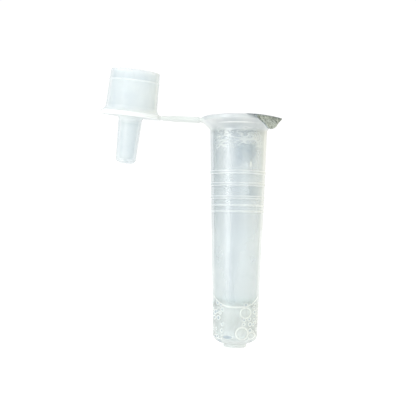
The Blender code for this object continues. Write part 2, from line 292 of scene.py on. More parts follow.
class Nodes:
    """The node tree of a material or of the world, with short calls to add and join nodes."""

    def __init__(self, name, world=None):
        self.owner = world or bpy.data.materials.new(name)
        self.owner.use_nodes = True
        self.tree = self.owner.node_tree
        self.tree.nodes.clear()
        self.output = self.add("OutputWorld" if world else "OutputMaterial")

    def add(self, kind, values=(), **settings):
        node = self.tree.nodes.new("ShaderNode" + kind)
        for key, value in settings.items():
            setattr(node, key, value)
        for socket, value in dict(values).items():
            self.feed(node.inputs[socket], value)
        return node

    def feed(self, socket, value):
        if isinstance(value, bpy.types.NodeSocket):
            self.tree.links.new(value, socket)
        else:
            socket.default_value = value

    def math(self, operation, *values):
        node = self.add("Math", operation=operation)
        for socket, value in zip(node.inputs, values):
            self.feed(socket, value)
        return node.outputs[0]

    def product(self, first, *others):
        for value in others:
            first = self.math("MULTIPLY", first, value)
        return first

    def total(self, first, *others):
        for value in others:
            first = self.math("ADD", first, value)
        return first

    def between(self, low, high, share):
        """low to high as share goes from 0 to 1, for plain numbers."""
        node = self.add("Mix", data_type="FLOAT")
        self.feed(node.inputs["Factor"], share)
        self.feed(node.inputs["A"], low)
        self.feed(node.inputs["B"], high)
        return node.outputs[0]

    def colour(self, low, high, share):
        node = self.add("Mix", data_type="RGBA")
        self.feed(node.inputs["Factor"], share)
        for socket, value in ((node.inputs[6], low), (node.inputs[7], high)):
            self.feed(socket, value if isinstance(value, bpy.types.NodeSocket) else (*value, 1))
        return node.outputs[2]

    def noise(self, scale, detail=3.0, stretch=(1, 1, 1)):
        where = self.add("TexCoord").outputs["Object"]
        spread = self.add("Mapping", {"Vector": where, "Scale": stretch}).outputs[0]
        sockets = {"Vector": spread, "Scale": scale, "Detail": detail, "Roughness": 0.55}
        return self.add("TexNoise", sockets).outputs[0]

    def ramp(self, value, low, high):
        sockets = {"Value": value, "From Min": low, "From Max": high}
        return self.add("MapRange", sockets, clamp=True).outputs[0]

    def bump(self, height, distance):
        sockets = {"Height": height, "Distance": distance, "Strength": 1.0}
        return self.add("Bump", sockets).outputs[0]

    def mix(self, share, first, second):
        node = self.add("MixShader")
        self.feed(node.inputs[0], share)
        self.feed(node.inputs[1], first)
        self.feed(node.inputs[2], second)
        return node.outputs[0]

    def done(self, surface):
        self.feed(self.output.inputs["Surface"], surface)
        return self.owner


def moulding(name, thin, pale, thick, haze, thick_haze, glass, roughness, mirror, ripple, marks=None):
    """Milky soft plastic: see-through where it is thin, and whiter where it is thick.

    thin and pale are its two shades where it is thin, and thick its shade where it is thick.
    marks may add to the share of the paler shade, to the haze and to the surface's height.
    """
    n = Nodes(name)
    solid = n.add("Attribute", attribute_name="thick").outputs["Fac"]
    streaks = n.noise(240, 1.5, stretch=(1, 1, 0.05))
    cloud = n.noise(260, 3.0)
    flow = n.noise(800, 2.0, stretch=(1, 1, 0.1))
    fine = n.noise(9000, 2.0)
    facing = n.add("LayerWeight", {"Blend": 0.5}).outputs["Facing"]
    edge = n.math("POWER", facing, 3.0)
    white, extra_haze, relief = marks(n) if marks else (0.0, 0.0, 0.0)

    uneven = n.total(n.product(streaks, 0.65), n.product(cloud, 0.35))
    shade = n.total(n.ramp(uneven, 0.4, 0.62), n.product(edge, 0.6), white)
    tint = n.colour(n.colour(thin, pale, n.math("MINIMUM", shade, 1.0)), thick, solid)
    height = n.total(n.product(flow, 0.6), n.product(fine, 0.05), relief)
    normal = n.bump(height, ripple)
    rough = n.total(roughness, n.product(n.math("SUBTRACT", flow, 0.5), 0.1))

    veil = n.total(n.between(haze, thick_haze, solid), extra_haze, n.product(edge, 0.22))
    veil = n.total(veil, n.product(n.math("SUBTRACT", uneven, 0.5), 0.16))
    veil = n.math("MINIMUM", n.math("MAXIMUM", veil, 0.03), 0.97)
    milk = n.add(
        "BsdfPrincipled",
        {"Base Color": tint, "Roughness": 0.6, "Specular IOR Level": 0.0, "Normal": normal},
    ).outputs[0]
    clear = n.add("BsdfTransparent", {"Color": (*glass, 1)}).outputs[0]
    body = n.mix(veil, clear, milk)

    shine = n.math("MULTIPLY_ADD", edge, 0.4, mirror)
    outside = n.math("SUBTRACT", 1.0, n.add("NewGeometry").outputs["Backfacing"])
    gloss = n.add("BsdfAnisotropic", {"Roughness": rough, "Normal": normal}).outputs[0]
    return n.done(n.mix(n.product(shine, outside), body, gloss))


def span(n, value, low, high, blur):
    """1 between low and high, fading to 0 over twice blur at both."""
    inside = n.ramp(value, low - blur, low + blur)
    return n.math("MULTIPLY", inside, n.ramp(value, high + blur, high - blur))


def contour(n, value, level, width):
    """1 along the lines where a value crosses a level."""
    return n.ramp(n.math("ABSOLUTE", n.math("SUBTRACT", value, level)), width, width * 0.22)


def patch(n, x, z, widths, heights, blurs):
    """1 within a soft-edged rectangle of the wall, given in millimetres."""
    across = span(n, x, *(value * MM for value in (*widths, blurs[0])))
    return n.product(across, span(n, z, *(value * MM for value in (*heights, blurs[1]))))


def wet_film(n, x, z):
    """Creases of the wet film under the rim."""
    creases = contour(n, n.noise(330, 1.0, stretch=(1, 1, 2.4)), 0.5, 0.06)
    dents = contour(n, n.noise(560, 0.5, stretch=(1, 1, 1.8)), 0.55, 0.04)
    either = n.math("MAXIMUM", creases, n.product(dents, 0.5))
    across = span(n, x, -4.6 * MM, 4.2 * MM, 0.6 * MM)
    return n.product(either, across, span(n, z, FILM_LOW_Z, FILM_HIGH_Z, 0.5 * MM))


def seat_edge_glints(n, x, z):
    """The two faint edges of the seat inside the gusset, drawn as white lines: painted highlight on
    real edges.
    """
    upper = contour(n, z, UPPER_SEAT_Z, 0.16 * MM)
    lower = n.product(contour(n, z, LOWER_SEAT_Z, 0.2 * MM), 0.6)
    return n.product(n.math("MAXIMUM", upper, lower), span(n, x, -3.2 * MM, 2.4 * MM, 1.4 * MM))


def small_bubble_glints_and_shade(n, place):
    """Painted highlight rims and painted shade middles of many small bubbles round the wall, all of
    them at the sides.
    """
    around = n.product(n.math("ARCTAN2", place[1], place[0]), CAVITY_LOW_RADIUS)
    cells = n.add(
        "TexVoronoi",
        {
            "Vector": n.add("CombineXYZ", {0: around, 1: place[2]}).outputs[0],
            "Scale": 900.0,
            "Randomness": 0.9,
        },
        voronoi_dimensions="2D",
    ).outputs
    pick = n.add("SeparateXYZ", {0: cells["Color"]}).outputs
    past_rim = n.math("SUBTRACT", cells["Distance"], n.math("MULTIPLY_ADD", pick[0], 0.22, 0.2))
    rim = n.ramp(n.math("ABSOLUTE", past_rim), 0.16, 0.05)
    middle = n.ramp(past_rim, -0.03, -0.10)
    kept = n.ramp(pick[1], 0.08, 0.16)
    sides = n.ramp(n.math("ABSOLUTE", n.total(place[0], 0.7 * MM)), 1.6 * MM, 2.4 * MM)
    wet = span(n, place[2], 1.6 * MM, LIQUID_LEVEL + 0.9 * MM, 0.3 * MM)
    wet = n.product(wet, kept, sides)
    return n.product(rim, wet, 0.8), n.product(middle, wet, 1.4)


def bubble_glints_and_shade(n, place):
    """Painted highlight rims and painted shade middles of the bubbles on the wall, with the largest
    drawn over the small.
    """
    rim_glints, middles = small_bubble_glints_and_shade(n, place)
    front = n.ramp(place[1], 0.0, -1.0 * MM)
    for x, z, radius, flat, darkness in WALL_BUBBLES:
        across = n.math("DIVIDE", n.math("SUBTRACT", place[0], x * MM), radius * MM)
        up = n.math("DIVIDE", n.math("SUBTRACT", place[2], z * MM), flat * radius * MM)
        reach = n.math("POWER", n.total(n.product(across, across), n.product(up, up)), 0.5)
        outside = n.math("MAXIMUM", n.ramp(reach, 1.0, 1.25), n.math("SUBTRACT", 1.0, front))
        rim = n.product(contour(n, reach, 1.0, 0.2), front, 0.85 * flat)
        middle = n.product(n.ramp(reach, 0.9, 0.6), front, darkness)
        rim_glints = n.math("MAXIMUM", n.product(rim_glints, outside), rim)
        middles = n.math("MAXIMUM", n.product(middles, outside), middle)
    return rim_glints, middles


def meniscus_highlight_line(n, place):
    """A painted highlight: the bright curved line of the liquid's edge, drawn up the front and back
    of the wall.
    """
    across = n.math("DIVIDE", n.math("ABSOLUTE", place[0]), CAVITY_LOW_RADIUS + 0.15 * MM)
    power = n.math("POWER", across, MENISCUS_POWER)
    rise = n.math("MULTIPLY_ADD", power, MENISCUS_RISE, LIQUID_LEVEL)
    line = contour(n, n.math("SUBTRACT", place[2], rise), 0.0, 0.26 * MM)
    return n.product(line, n.ramp(n.math("ABSOLUTE", place[1]), 0.9 * MM, 2.2 * MM))


def dark_patches_and_base_shade(n, place, x, z):
    """Two darker patches on the wall, and painted shade: dark arcs where the base turns under."""
    upper = patch(n, x, z, (-0.3, 3.4), (38.4, 42.0), (0.7, 0.7))
    lower = n.product(patch(n, x, z, (2.2, 3.8), (31.3, 33.6), (0.5, 0.4)), 0.8)
    # Painted shade: dark arcs where the base turns under.
    under = n.total(n.math("ABSOLUTE", place[0]), n.product(place[2], -0.6))
    under = contour(n, under, 2.3 * MM, 0.7 * MM)
    under = n.product(under, span(n, place[2], 0.8 * MM, 2.0 * MM, 0.2 * MM), 1.3)
    return n.math("MAXIMUM", n.math("MAXIMUM", upper, lower), under)


def outer_skin(n, place):
    """1 on the wall's outer face, and 0 on its inner one."""
    flat = n.add("CombineXYZ", {0: place[0], 1: place[1]}).outputs[0]
    from_axis = n.add("VectorMath", {0: flat}, operation="LENGTH").outputs["Value"]
    halfway = n.math("MULTIPLY_ADD", place[2], 0.028, 4.45 * MM)  # within the wall
    return n.ramp(n.math("SUBTRACT", halfway, from_axis), 0.05 * MM, -0.05 * MM)


def wall_marks(n):
    """White, haze and height of the wet film, darker patches, the liquid's edge and wall bubbles. The
    seat lines, the glint, the liquid's edge and the bubble rims are painted highlight; the bubble
    middles and the arcs under the base are painted shade; the wall is painted paler where the buffer
    lies.
    """
    place = n.add("SeparateXYZ", {0: n.add("TexCoord").outputs["Object"]}).outputs
    wander = n.math("MULTIPLY_ADD", n.noise(420, 2.0), 2.4 * MM, -1.2 * MM)
    x, z = n.total(place[0], wander), n.total(place[2], wander)
    front = n.ramp(place[1], 1.0 * MM, -1.0 * MM)
    skin = outer_skin(n, place)
    near_skin = n.product(front, skin)

    crease = n.product(wet_film(n, x, z), near_skin)
    # The seat lines are painted highlight; the wet film's creases are marks of the film itself.
    seat_glints = n.product(seat_edge_glints(n, x, place[2]), near_skin)
    film_creases_and_seat_glints = n.product(n.math("MAXIMUM", crease, n.product(seat_glints, 1.3)), 0.42)
    rim_glints, middles = bubble_glints_and_shade(n, place)
    # The liquid's edge line joins the bubble rims as painted highlight.
    rim_glints = n.product(n.math("MAXIMUM", rim_glints, n.product(meniscus_highlight_line(n, place), 0.8)), skin)
    middles = n.product(middles, skin)
    # Painted highlight: drip here is a short upright glint on the near wall, not a drop of liquid.
    drip = patch(n, place[0], place[2], (2.25, 2.55), (37.3, 38.6), (0.15, 0.4))
    drip = n.product(drip, near_skin)

    bright = n.math("MAXIMUM", n.math("MAXIMUM", film_creases_and_seat_glints, rim_glints), drip)
    patches = n.product(dark_patches_and_base_shade(n, place, x, z), front)
    dark = n.math("MAXIMUM", patches, n.product(middles, 1.1))
    low_down = n.product(n.ramp(place[2], 30 * MM, 6 * MM), 0.6)
    # Painted light: the wall is drawn paler and hazier where the buffer lies behind it.
    painted_buffer_light = n.ramp(place[2], LIQUID_LEVEL + 1.0 * MM, LIQUID_LEVEL - 1.0 * MM)
    white = n.math("SUBTRACT", n.product(bright, 1.7), n.product(dark, 1.35))
    white = n.total(white, low_down, n.product(painted_buffer_light, 0.5))
    haze = n.total(n.product(bright, 0.75), n.product(dark, 0.2), n.product(middles, 0.12))
    haze = n.total(haze, n.product(painted_buffer_light, 0.16))
    return n.math("MAXIMUM", white, -0.6), haze, n.product(crease, 0.45)


def foil_material():
    """Matt pressed foil, finely pitted, with a faint green cast; its greys are partly its own and
    partly painted shade, darkest towards the fold.
    """
    n = Nodes("heat_seal_foil")
    grain = n.noise(2900, 4.0)
    patches = n.noise(600, 3.0)
    rolled = n.noise(2600, 2.0, stretch=(1, 0.08, 1))
    # These greys are partly the foil's own matt grey and partly painted shade of its shaded
    # underside.
    dark, pale = (0.10, 0.13, 0.14), (0.47, 0.54, 0.59)
    z = n.add("SeparateXYZ", {0: n.add("TexCoord").outputs["Object"]}).outputs[2]
    # Painted shade: the foil is drawn darker towards the fold.
    tip = n.product(n.ramp(z, RIM_Z, RIM_Z - 1.8 * MM), 0.12)  # brighter away from the fold
    speckle = n.total(grain, n.product(patches, 0.3), tip)
    tint = n.colour(dark, pale, n.ramp(speckle, 0.58, 0.86))
    height = n.total(grain, n.product(rolled, 0.5))
    shader = n.add(
        "BsdfPrincipled",
        {
            "Base Color": tint,
            "Metallic": 0.85,
            "Roughness": n.between(0.38, 0.6, grain),
            "Normal": n.bump(height, 0.03 * MM),
        },
    )
    return n.done(shader.outputs[0])


def see_through(n, tint, ior, roughness=0.0):
    sockets = {"Base Color": tint, "Transmission Weight": 1.0, "IOR": ior, "Roughness": roughness}
    return n.add("BsdfPrincipled", sockets).outputs[0]


def water_material():
    """Clear watery buffer, with the faintest cloudiness."""
    n = Nodes("buffer")
    cloud = n.noise(900, 2.0)
    shade = n.colour((0.93, 0.98, 0.97), (1.0, 1.0, 1.0), n.ramp(cloud, 0.35, 0.65))
    return n.done(see_through(n, shade, 1.33, n.between(0.0, 0.05, cloud)))


def bubble_material():
    """A bubble's skin: white where it turns away, a painted reflection, and a little dark and green
    face on, painted shade.
    """
    n = Nodes("buffer_bubble")
    facing = n.add("LayerWeight", {"Blend": 0.5}).outputs["Facing"]
    spots = n.noise(3000, 2.0)
    rim = n.product(n.ramp(facing, 0.3, 0.7), n.between(0.6, 1.0, spots))
    tint = n.colour((0.84, 0.90, 0.88), (0.95, 0.98, 0.97), spots)
    clear = see_through(n, tint, FILM_IOR)
    # Painted reflection: a white surface at the bubble's turned-away edge.
    white = n.add("BsdfPrincipled", {"Base Color": (0.95, 0.98, 0.95, 1), "Roughness": 0.3})
    return n.done(n.mix(rim, clear, white.outputs[0]))


def froth_material():
    """The liquid's free surface: nearly clear face on, and white edge on, partly froth and partly a
    painted highlight of its bright curved edge.
    """
    n = Nodes("buffer_surface")
    froth = n.noise(2200, 2.0)
    facing = n.add("LayerWeight", {"Blend": 0.5}).outputs["Facing"]
    share = n.product(n.math("POWER", facing, 4.0), n.between(0.5, 1.0, froth))
    clear = see_through(n, (0.98, 1.0, 0.995, 1), FILM_IOR)
    white = n.add("BsdfPrincipled", {"Base Color": (0.93, 0.96, 0.93, 1), "Roughness": 0.5})
    return n.done(n.mix(share, clear, white.outputs[0]))


# ---------------------------------------------------------------- tube


def outer_radius(z):
    share = (z - SHOULDER_Z) / (GUSSET_FOOT_Z - SHOULDER_Z)
    return TUBE_LOW_RADIUS + share * (TUBE_TOP_RADIUS - TUBE_LOW_RADIUS)


def inner_radius(z):
    share = (z - CAVITY_SHOULDER_Z) / (BORE_TOP_Z - CAVITY_SHOULDER_Z)
    return CAVITY_LOW_RADIUS + share * (BORE_TOP_RADIUS - CAVITY_LOW_RADIUS)


def band_points(depth, width, height):
    """A raised band, whose edges are drawn a little whiter than the wall: painted highlight where
    they catch light.
    """
    middle = RIM_Z - depth
    foot = width / 2
    crest = foot - 0.6 * height
    # The high thick shares at the band's edges are painted highlight, not extra thickness.
    steps = (
        (-foot - 0.08 * MM, 0.0, 0.0),
        (-foot, 0.0, 0.75),
        (-crest, height, 0.9),
        (-crest + 0.09 * MM, height, 0.15),
        (crest - 0.09 * MM, height, 0.15),
        (crest, height, 0.9),
        (foot, 0.0, 0.75),
        (foot + 0.08 * MM, 0.0, 0.0),
    )
    return [(outer_radius(middle + dz) + lift, middle + dz, thick) for dz, lift, thick in steps]


def gusset_points():
    rise = RIM_Z - RING_THICKNESS - GUSSET_FOOT_Z
    reach = RING_RADIUS - EDGE_ROUND - TUBE_TOP_RADIUS
    steps = 16
    points = []
    for i in range(steps + 1):
        share = i / steps
        radius = TUBE_TOP_RADIUS + reach * share**GUSSET_HOLLOW
        points.append((radius, GUSSET_FOOT_Z + rise * share, 0.4 + 0.3 * share))
    return points


def tube_profile():
    dimple = [(0, 0.12 * MM, 0.45), (0.7 * MM, 0.1 * MM, 0.45), (1.3 * MM, 0.03 * MM, 0.45)]
    foot = dimple + [(FOOT_RADIUS - 0.4 * MM, 0, 0.45)]
    foot += arc((FOOT_RADIUS - EDGE_ROUND, EDGE_ROUND), EDGE_ROUND, -math.pi / 2, 0, 4, 0.45)
    foot += [(FOOT_RADIUS, FOOT_HEIGHT - 0.1 * MM, 0.45), (FOOT_RADIUS + 0.1 * MM, FOOT_HEIGHT, 0.4)]
    depth = SHOULDER_Z - FOOT_HEIGHT
    base = base_curve(SHOULDER_Z, TUBE_LOW_RADIUS, depth, BASE_FULLNESS, 1.12 * FOOT_RADIUS, 0.12)
    bands = [point for band in reversed(BANDS) for point in band_points(*band)]
    under = RIM_Z - RING_THICKNESS + EDGE_ROUND
    ring = arc((RING_RADIUS - EDGE_ROUND, under), EDGE_ROUND, -math.pi / 2, 0, 4, 0.7)
    ring += arc((RING_RADIUS - EDGE_ROUND, RIM_Z - EDGE_ROUND), EDGE_ROUND, 0, math.pi / 2, 4, 0.7)
    seat = [
        (MOUTH_RADIUS, RIM_Z, 0.6),
        (MOUTH_RADIUS - 0.3 * MM, RIM_Z - 0.2 * MM, 0.5),
        (MOUTH_RADIUS - 0.55 * MM, RIM_Z - 0.5 * MM, 0.4),
        (BORE_TOP_RADIUS + 0.08 * MM, RIM_Z - 1.15 * MM, 0.2),
        (BORE_TOP_RADIUS, BORE_TOP_Z, 0.1),
    ]
    depth = CAVITY_SHOULDER_Z - CAVITY_FLOOR_Z
    floor = base_curve(CAVITY_SHOULDER_Z, CAVITY_LOW_RADIUS, depth, CAVITY_FULLNESS, 0, 0.1)
    floor[0] = (0, CAVITY_FLOOR_Z, 0.3)
    upper = refined(ring + seat + floor[::-1], 1.0 * MM)
    bands.append((outer_radius(WALL_TOP_Z), WALL_TOP_Z, 0.0))
    return refined(foot + base + bands + gusset_points(), 1.0 * MM) + upper


def soften_tube(bm):
    """The soft wall isn't quite round: slow waves between the buffer and the upper bands."""
    for vert in bm.verts:
        z = vert.co.z
        window = smooth_step(z, 12 * MM, 17 * MM) * (1 - smooth_step(z, 34 * MM, 40 * MM))
        if window > 0:
            angle = math.atan2(vert.co.y, vert.co.x)
            where = Vector((1.3 * math.cos(angle), 1.3 * math.sin(angle), z / (7 * MM)))
            push = 0.045 * MM * window * noise.noise(where)
            vert.co.x += push * math.cos(angle)
            vert.co.y += push * math.sin(angle)


def make_tube(material):
    bm = turned(tube_profile())
    soften_tube(bm)
    tube = finish_mesh("tube_moulding", bm, material)
    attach(tube, "tube_body")
    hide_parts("tube")


# ---------------------------------------------------------------- cap


def cap_profile():
    """From the plug's open end down its outside to the nozzle's tip, and back up inside."""
    bead_z = PLUG_LENGTH - BEAD_FROM_END

    def plug(z, lift=0.0, thick=0.2):
        share = (z - FLARE_LENGTH) / (PLUG_LENGTH - FLARE_LENGTH)
        radius = PLUG_ROOT_RADIUS + share * (PLUG_END_RADIUS - PLUG_ROOT_RADIUS)
        return (radius + lift, z, thick)

    top = PLUG_LENGTH - EDGE_ROUND
    outside = [(PLUG_END_RADIUS - PLUG_WALL + 0.1 * MM, PLUG_LENGTH, 0.3)]
    outside += arc((PLUG_END_RADIUS - EDGE_ROUND, top), EDGE_ROUND, math.pi / 2, 0, 4, 0.2)
    for i in range(9):
        offset = 0.28 * MM * (1 - i / 4)
        swell = 0.5 + 0.5 * math.cos(math.pi * offset / (0.28 * MM))
        body = 0.2 if i > 4 else 0.0
        outside.append(plug(bead_z + offset, BEAD_HEIGHT * swell, max(body, 0.55 * swell)))
    outside.append(plug(FLARE_LENGTH + 0.9 * MM))
    reach = CAP_FLANGE_RADIUS - PLUG_ROOT_RADIUS
    steps = 12
    flare = []
    for i in range(steps + 1):
        angle = math.pi / 2 * (1 - i / steps)
        radius = CAP_FLANGE_RADIUS - reach * math.sin(angle)
        flare.append((radius, FLARE_LENGTH * (1 - math.cos(angle)), 0.2 + 0.6 * i / steps))
    under = -CAP_FLANGE_THICKNESS
    flange = arc(
        (CAP_FLANGE_RADIUS - EDGE_ROUND, under + EDGE_ROUND), EDGE_ROUND, 0, -math.pi / 2, 4, 0.85
    )
    fillet = 0.75 * MM
    flange += arc(
        (NOZZLE_ROOT_RADIUS + fillet, under - fillet), fillet, math.pi / 2, math.pi, 6, 0.45
    )
    tip_z = under - NOZZLE_LENGTH
    nozzle = [(NOZZLE_ROOT_RADIUS - 0.03 * MM, under - 1.5 * MM, 0.12)]
    round_centre = (NOZZLE_TIP_RADIUS - NOZZLE_ROUND, tip_z + NOZZLE_ROUND)
    nozzle += arc(round_centre, NOZZLE_ROUND, 0, -math.pi / 2, 10, 0.15)
    drip = [
        (DRIP_HOLE_RADIUS + 0.06 * MM, tip_z, 0.3),
        (DRIP_HOLE_RADIUS, tip_z + 0.06 * MM, 0.3),
        (DRIP_HOLE_RADIUS, tip_z + 0.8 * MM, 0.3),
    ]
    inside = [
        (NOZZLE_BORE_TIP - 0.35 * MM, tip_z + 0.95 * MM, 0.2),
        (NOZZLE_BORE_TIP, tip_z + 1.3 * MM, 0.1),
        (NOZZLE_BORE_ROOT, under, 0.1),
        (NOZZLE_BORE_ROOT + 0.12 * MM, -0.2 * MM, 0.3),
        (NOZZLE_BORE_ROOT + 0.35 * MM, 0.0, 0.4),
        (PLUG_ROOT_RADIUS - PLUG_WALL - 0.5 * MM, 0.15 * MM, 0.4),
        (PLUG_ROOT_RADIUS - PLUG_WALL - 0.15 * MM, 0.3 * MM, 0.3),
        (PLUG_ROOT_RADIUS - PLUG_WALL, 0.65 * MM, 0.1),
        (PLUG_END_RADIUS - PLUG_WALL, PLUG_LENGTH - 0.1 * MM, 0.05),
    ]
    return refined(outside + flare + flange + nozzle + drip + inside, 0.8 * MM)


def cap_place():
    """The middle of the cap's mating face, and the way its axis leans."""
    leaning = Euler((CAP_LEAN, STRAP_TILT, 0)).to_matrix().to_4x4()
    turn = leaning @ Matrix.Rotation(CAP_TILT - STRAP_TILT, 4, "Y")
    offset = Vector((-(CAP_FLANGE_RADIUS + CAP_HINGE_OUT), 0, CAP_HINGE_DROP))
    return Matrix.Translation(STRAP_BENDS[-1] + turn @ offset) @ turn


def make_cap(material):
    bm = turned(cap_profile(), closed=True)
    bmesh.ops.transform(bm, verts=bm.verts, matrix=cap_place())
    cap = finish_mesh("cap_moulding", bm, material)
    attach(cap, "cap")
    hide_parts("dropper_cap")


# ---------------------------------------------------------------- strap


def strap_path():
    """The centreline from inside the ring to inside the cap's flange."""
    first, last = STRAP_BENDS[0], STRAP_BENDS[-1]
    inner = Vector((-(RING_RADIUS - STRAP_SINK), 0, first.z))
    onward = cap_place().to_3x3() @ Vector((-1, 0, 0))
    return [inner, first, last, last + onward * (CAP_HINGE_OUT + 0.25 * MM)]


def strap_station(path, x):
    """The centreline's place and direction at x."""
    for start, end in zip(path, path[1:]):
        if x >= end.x:
            break
    share = (x - start.x) / (end.x - start.x)
    return start.lerp(end, share), (end - start).normalized()


def strap_section(x, path):
    """Half width and half thickness: wider at both roots, thinned at both bend lines."""
    to_ring = abs(x + RING_RADIUS)
    to_cap = abs(x - (path[2].x - CAP_HINGE_OUT))
    root = max(math.exp(-to_ring / (0.8 * MM)), math.exp(-to_cap / (0.8 * MM)))
    groove = max(math.exp(-(((x - path[i].x) / (0.16 * MM)) ** 2)) for i in (1, 2))
    share = min(1, max(0, (x - path[1].x) / (path[2].x - path[1].x)))
    waist = 0.12 * MM * math.sin(math.pi * share) ** 2
    return STRAP_HALF_WIDTH + 0.3 * MM * root - waist, STRAP_HALF_THICKNESS * (1 - 0.5 * groove)


def rounded_rectangle(half_width, half_height, corner):
    """(across, up) points all the way round."""
    flat_steps, corner_steps = 8, 4
    points = []
    quarters = ((1, 1, 0), (-1, 1, 1), (-1, -1, 2), (1, -1, 3))
    for side, level, quarter in quarters:
        middle = (side * (half_width - corner), level * (half_height - corner))
        for i in range(corner_steps + 1):
            angle = math.pi / 2 * (quarter + i / corner_steps)
            points.append(
                (middle[0] + corner * math.cos(angle), middle[1] + corner * math.sin(angle))
            )
        if level == (1 if side == 1 else -1):
            for i in range(1, flat_steps):
                run = side * (half_width - corner) * (1 - 2 * i / flat_steps)
                points.append((run, level * half_height))
    return points


def strap_ring(bm, layer, x, path):
    """One cross-section; the first and last follow the round edges they run into."""
    centre, along = strap_station(path, x)
    half_width, half_thick = strap_section(x, path)
    roll = CAP_LEAN * smooth_step(TWIST.x - x, -TWIST_REACH, TWIST_REACH)
    turn = Matrix.Rotation(-roll, 3, along)
    across = turn @ Vector((0, 1, 0))
    up = turn @ Vector((along.z, 0, -along.x))
    near_ring = 1 - smooth_step(path[0].x - x, 0.2 * MM, 1.2 * MM)
    near_cap = 1 - smooth_step(x - path[-1].x, 0.2 * MM, 1.2 * MM)
    ring_edge = -path[0].x
    cap_edge = CAP_FLANGE_RADIUS - 0.25 * MM
    corner = min(0.2 * MM, half_thick * 0.9)
    ring = []
    for y, z in rounded_rectangle(half_width, half_thick, corner):
        point = centre + across * y + up * z
        point.x += near_ring * (ring_edge - math.sqrt(ring_edge**2 - y**2))
        point.x -= near_cap * (cap_edge - math.sqrt(cap_edge**2 - y**2))
        vert = bm.verts.new(point)
        vert[layer] = 0.9
        ring.append(vert)
    return ring


def strap_piece(name, path, start_x, end_x, material):
    bm = bmesh.new()
    layer = bm.verts.layers.float.new("thick")
    count = max(4, round((start_x - end_x) / STRAP_STEP))
    xs = [start_x + (end_x - start_x) * i / count for i in range(count + 1)]
    rings = [strap_ring(bm, layer, x, path) for x in xs]
    for low, high in zip(rings, rings[1:]):
        bridge(bm, low, high)
    bm.faces.new(rings[0])
    bm.faces.new(list(reversed(rings[-1])))
    return finish_mesh(name, bm, material)


def make_strap(material):
    """Five pieces, each across one joint, that meet in the middles of the stiff lengths."""
    path = strap_path()
    inner, outer = STRAP_BENDS[1], STRAP_BENDS[2]
    middles = [(a.x + b.x) / 2 for a, b in ((path[1], inner), (inner, outer))]
    middles += [(outer.x + TWIST.x) / 2, (TWIST.x + path[2].x) / 2]
    ends = [path[0].x, *middles, path[3].x]
    pieces = (
        ("strap_root", path[1], ROOT_REACH, None),
        ("strap_inner_bend", inner, BEND_REACH, "strap_near_tube"),
        ("strap_outer_bend", outer, BEND_REACH, "strap_middle"),
        ("strap_twist_length", TWIST, TWIST_REACH, "strap_near_cap"),
        ("strap_cap_root", path[2], ROOT_REACH, "strap_cap_end"),
    )
    for i, (name, place, reach, node) in enumerate(pieces):
        piece = strap_piece(name, path, ends[i], ends[i + 1], material)
        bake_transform(piece)
        if node:
            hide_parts(node)


# ---------------------------------------------------------------- foil

OUT = Vector((1, -1, 0)).normalized()
ALONG = Vector((1, 1, 0)).normalized()


def foil_height(x, y):
    """The sheet's height above the rim: pressed flat on the ring, slack over the mouth."""
    radius = math.hypot(x, y)
    angle = math.atan2(y, x)
    slack = 1 - smooth_step(radius, 4.2 * MM, 6.5 * MM)
    sag = -0.16 * MM * slack
    pull = 0.05 * MM * slack * math.sin(9 * angle + 1.3 * math.sin(3 * angle)) * radius / (5 * MM)
    crumple = 0.10 * MM * slack * noise.noise(Vector((x / (2.2 * MM), y / (2.2 * MM), 3.1)))
    creases = abs(noise.noise(Vector((x / (1.1 * MM), y / (1.1 * MM), 8.4))))
    press = 0.012 * MM * math.sin(TURN * (radius - 6.6 * MM) / (0.4 * MM)) * (1 - slack)
    droop = -0.17 * MM * smooth_step(radius, 7.7 * MM, 9.3 * MM)
    return sag + pull + crumple - 0.05 * MM * slack * creases + press + droop


def filled_sheet(outline, grid):
    """Triangles that fill an outline of (x, y) points, on an even grid."""
    xs, ys = [p[0] for p in outline], [p[1] for p in outline]
    points = [Vector(p) for p in outline]
    row = 0
    y = min(ys) + grid
    while y < max(ys):
        x = min(xs) + (grid / 2 if row % 2 else 0)
        while x < max(xs):
            if inside(outline, x, y, grid * 0.45):
                points.append(Vector((x, y)))
            x += grid
        y += grid * math.sqrt(3) / 2
        row += 1
    edges = [(i, (i + 1) % len(outline)) for i in range(len(outline))]
    verts, _, faces, *_ = delaunay_2d_cdt(points, edges, [], 1, 1e-9)
    return verts, faces


def inside(outline, x, y, margin):
    """True if a point is within a closed outline and at least margin from its edge."""
    crossings = False
    for (ax, ay), (bx, by) in zip(outline, outline[1:] + outline[:1]):
        if (ay > y) != (by > y) and x < (bx - ax) * (y - ay) / (by - ay) + ax:
            crossings = not crossings
        length = (bx - ax) ** 2 + (by - ay) ** 2
        share = max(0, min(1, ((x - ax) * (bx - ax) + (y - ay) * (by - ay)) / length))
        if math.hypot(ax + share * (bx - ax) - x, ay + share * (by - ay) - y) < margin:
            return False
    return crossings


def even_run(start, end, step):
    """(x, y) points from start up to, but not including, end."""
    count = max(1, round(math.dist(start, end) / step))
    return [
        tuple(a + (b - a) * i / count for a, b in zip(start, end)) for i in range(count)
    ]


def sheet_piece(name, verts, faces, place, material):
    bm = bmesh.new()
    made = [bm.verts.new(place(v.x, v.y)) for v in verts]
    for face in faces:
        bm.faces.new([made[i] for i in face])
    piece = finish_mesh(name, bm, material, sharp=math.radians(60))
    solid = piece.modifiers.new("Foil thickness", "SOLIDIFY")
    solid.thickness = FOIL_THICKNESS
    solid.offset = 0
    return piece


